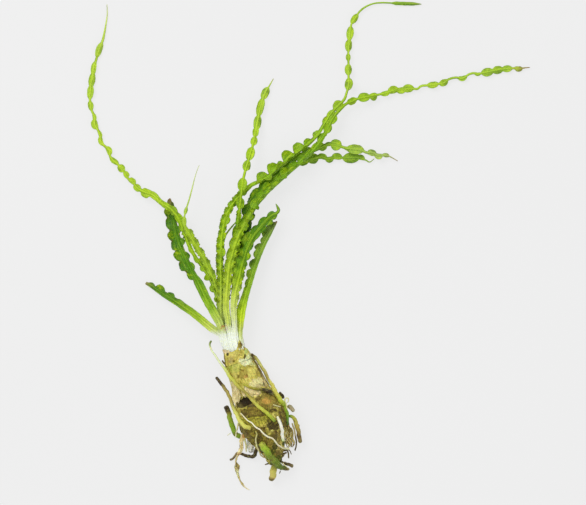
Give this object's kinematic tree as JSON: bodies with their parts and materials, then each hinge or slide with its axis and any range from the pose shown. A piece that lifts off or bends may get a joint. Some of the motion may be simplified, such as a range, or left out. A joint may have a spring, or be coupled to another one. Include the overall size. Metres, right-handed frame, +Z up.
{
  "type": "crinum",
  "caption": "Bare-root aquarium crinum lying flat: bulb in loose skins with roots, white neck, and long narrow leaves with crisped, beaded margins.",
  "frame": {"origin": "under the middle of the plant's box, on the surface that it lies on", "axes": "+Y from the bulb towards the leaf tips, +X to the plant's right as seen from above, +Z up from the surface"},
  "size_m": [0.2663, 0.2937, 0.0277],
  "materials": {
    "bulb_skin": "satin",
    "neck_white": "satin",
    "leaf_green": "satin",
    "leaf_dark": "satin",
    "root_green": "satin",
    "root_brown": "matte",
    "root_cream": "satin",
    "loose_skin": "matte"
  },
  "bodies": {
    "root": {"bulb": "bulb_skin", "neck": "neck_white", "leaf_left_stub": "leaf_dark", "leaf_left_dark": "leaf_dark", "leaf_left_long": "leaf_green", "leaf_left_whisker": "leaf_green", "leaf_upright_right": "leaf_green", "leaf_long_right": "leaf_green", "leaf_mid_right": "leaf_green", "leaf_low_right": "leaf_green", "leaf_centre": "leaf_green", "leaf_hooked": "leaf_green", "leaf_right_short": "leaf_dark", "leaf_thread": "leaf_green", "root_across": "root_green", "root_left_dark": "root_green", "root_fat_left": "root_green", "root_green_low": "root_green", "root_right_long": "root_green", "root_right_arch": "root_green", "root_dark_branch": "root_brown", "root_stub_dark": "root_brown", "root_right_dark": "root_brown", "root_stub_right": "root_brown", "root_low_left": "root_brown", "root_cream_long": "root_cream", "root_cream_short": "root_cream", "root_stub_bottom": "root_cream", "root_right_thin": "root_cream", "root_right_thread": "root_cream", "root_white": "root_cream", "root_tan_inner": "root_cream", "root_tan_outer": "root_cream", "skin_shred": "loose_skin", "skin_flap": "loose_skin"}
  },
  "joints": []
}
